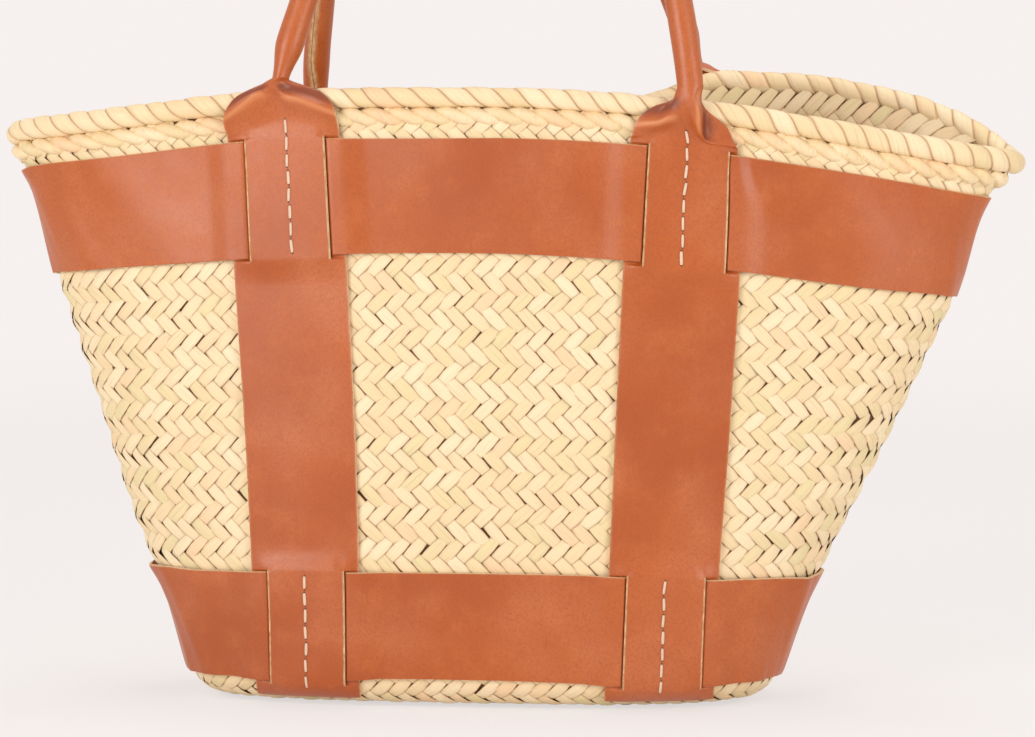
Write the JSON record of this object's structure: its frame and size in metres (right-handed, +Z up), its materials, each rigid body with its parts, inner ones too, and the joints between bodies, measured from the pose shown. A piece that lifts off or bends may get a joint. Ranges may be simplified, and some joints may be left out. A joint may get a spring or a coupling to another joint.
{
  "type": "straw tote bag",
  "caption": "Half-moon tote bag of plaited straw with a rolled rim, woven-in leather bands and straps, and rolled leather handles that swing at their necks.",
  "frame": {"origin": "on the surface the bag stands on, under the middle of its whole box", "axes": "+X to the right along the bag as its front is seen, +Y to its back, +Z up"},
  "size_m": [0.5565, 0.1473, 0.562],
  "materials": {
    "straw": "flat plaited palm leaf, matt with a slight sheen",
    "rim_straw": "twisted and wrapped palm leaf",
    "leather": "tan vegetable-tanned, satin",
    "thread": "waxed linen",
    "core": "raw cord"
  },
  "bodies": {
    "basket": {"basket_base": "straw", "basket_wall": "straw", "rim_twisted_row": "rim_straw", "rim_roll": "rim_straw", "band_lower": "leather", "band_upper": "leather", "strap_front_left": "leather", "strap_front_right": "leather", "strap_back_left": "leather", "strap_back_right": "leather", "thread_front_left_lower": "thread", "thread_front_left_upper": "thread", "thread_front_right_lower": "thread", "thread_front_right_upper": "thread", "thread_back_left_lower": "thread", "thread_back_left_upper": "thread", "thread_back_right_lower": "thread", "thread_back_right_upper": "thread"},
    "front_handle": {"handle_front": "leather", "handle_core_front": "core"},
    "back_handle": {"handle_back": "leather", "handle_core_back": "core"}
  },
  "joints": [
    {"name": "front_handle_swing", "type": "hinge", "parent": "basket", "child": "front_handle", "pos_m": [-0.00617, -0.0645, 0.33289], "axis": [0.9998, -0.0164, -0.0066], "range_deg": [-3, 152]},
    {"name": "back_handle_swing", "type": "hinge", "parent": "basket", "child": "back_handle", "pos_m": [-0.0062, 0.06452, 0.34274], "axis": [-0.9966, -0.0165, -0.0813], "range_deg": [-3, 152]}
  ]
}
